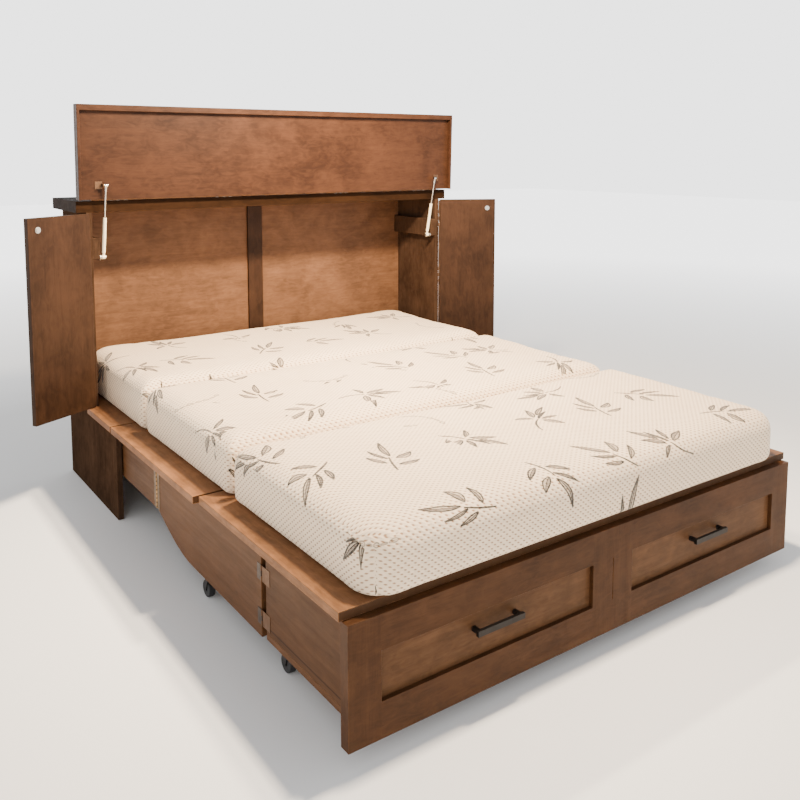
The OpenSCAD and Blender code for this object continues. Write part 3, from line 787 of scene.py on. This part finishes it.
def print_map(piece, lo, hi):
    """Lays the print on the cover as if the cloth were folded down over the edges."""
    mesh = piece.data
    co = coordinates(mesh)
    middle = (lo + hi) / 2
    flat = (hi - lo) / 2 - Vector((PRINT_BAND, PRINT_BAND, 0))
    side_x = np.clip((np.abs(co[:, 0] - middle.x) - flat.x) / PRINT_BAND, 0, 1)
    side_y = np.clip((np.abs(co[:, 1] - middle.y) - flat.y) / PRINT_BAND, 0, 1)
    out = np.c_[np.sign(co[:, 0]) * side_x, np.sign(co[:, 1] - middle.y) * side_y]
    length = np.maximum(np.linalg.norm(out, axis=1), 1e-6)
    drop = (hi.z - co[:, 2]) * np.minimum(length, 1.0)
    uv = co[:, :2] + out / length[:, None] * drop[:, None]
    layer = mesh.uv_layers.new(name="print")
    index = np.zeros(len(mesh.loops), np.int32)
    mesh.loops.foreach_get("vertex_index", index)
    layer.data.foreach_set("uv", uv[index].astype(np.float32).ravel())


def finish_cover(piece, which):
    """Gives a settled cover its cloth, and hands it to its foam section."""
    piece.data.materials.clear()
    piece.data.materials.append(cover)
    piece.data.shade_smooth()
    fine = piece.modifiers.new("fine", "SUBSURF")
    fine.levels = 1
    fine.render_levels = 1
    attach(piece, f"mattress_{which}_body")
    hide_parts(f"mattress_{which}")
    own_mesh(piece)


def make_mattress():
    """Three foam sections in a knitted cover, rounded outside and snug where they meet."""
    boxes = [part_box(f"mattress_{which}") for which in SECTIONS]
    covers = [make_section(which, lo, hi) for which, (lo, hi) in zip(SECTIONS, boxes)]
    swell(covers)
    for piece, which, (lo, hi) in zip(covers, SECTIONS, boxes):
        settle(piece, which, lo, hi)
        print_map(piece, lo, hi)
        finish_cover(piece, which)


make_mattress()


# ---- floor, light and camera ---------------------------------------------------

# Warm lamps over the bed, and a studio wall that is bright at the horizon and dimmer overhead
WARM = (1.0, 0.80, 0.58)
SOFT_WHITE = (1.0, 0.97, 0.93)
WALL = 3.0
WALL_TOP = 0.2
OVERHEAD = 0.7
OVERHEAD_FROM = 0.42
# The floor glows more and more with its distance, until it meets the wall
FLOOR_SIZE = 40
FLOOR_GLOW = 2.4
FLOOR_GLOW_FROM = 2.2
FLOOR_GLOW_TO = 8.0

CAMERA_AT = (-1.7084, -2.4955, 1.3005)
CAMERA_YAW = -35.41
CAMERA_PITCH = 5.85
CAMERA_LENS = 38.78
CAMERA_SHIFT_Y = -0.20


def make_floor():
    bpy.ops.mesh.primitive_plane_add(size=FLOOR_SIZE, location=(0, 0, 0))
    floor = bpy.context.object
    floor.name = "floor"
    s = Shader("pale_floor")
    away = s.node("VectorMath", {0: s.place()}, operation="LENGTH").outputs["Value"]
    s.set(Base_Color=(0.92, 0.92, 0.92, 1), Roughness=0.7, Emission_Color=(1, 1, 1, 1),
          Emission_Strength=s.ramp(away, FLOOR_GLOW_FROM, FLOOR_GLOW_TO, 0.0, FLOOR_GLOW))
    floor.data.materials.append(s.mat)


def area_light(name, location, target, size, power, colour):
    data = bpy.data.lights.new(name, "AREA")
    data.size = size
    data.energy = power
    data.color = colour
    lamp = placed(name, data)
    lamp.location = location
    lamp.visible_camera = False
    lamp.rotation_euler = (Vector(target) - Vector(location)).to_track_quat("-Z", "Y").to_euler()


def make_light():
    lo, hi = cad_box
    middle = (lo + hi) / 2
    # Both warm lamps lie on one slope, so the top board's shadow on the back has one edge
    area_light("key_near", (-0.05, -0.10, 1.829), (-0.05, 0.5, 0.8), 0.15, 92, WARM)
    area_light("key_far", (0.0, -0.90, 2.545), (0.0, 0.1, 0.5), 0.20, 176, WARM)
    area_light("soft_front", (-3.2, -4.2, 3.6), middle, 3.0, 25, SOFT_WHITE)


def make_world():
    """A pale band of studio wall above the horizon, dimmer overhead."""
    world = bpy.data.worlds.new("studio")
    bpy.context.scene.world = world
    world.use_nodes = True
    w = Nodes(world.node_tree)
    background = w.tree.nodes["Background"].inputs
    _, _, up = w.split(w.node("TexCoord").outputs["Generated"])
    w.put((1, 1, 1, 1), background["Color"])
    w.put(w.ramp(up, WALL_TOP, OVERHEAD_FROM, WALL, OVERHEAD), background["Strength"])


def make_camera():
    data = bpy.data.cameras.new("camera")
    data.lens = CAMERA_LENS
    data.sensor_width = 36
    data.shift_y = CAMERA_SHIFT_Y
    data.clip_end = 100
    camera = placed("camera", data)
    camera.location = CAMERA_AT
    camera.rotation_euler = (math.radians(90 - CAMERA_PITCH), 0, math.radians(CAMERA_YAW))
    bpy.context.scene.camera = camera


make_floor()
make_light()
make_world()
make_camera()
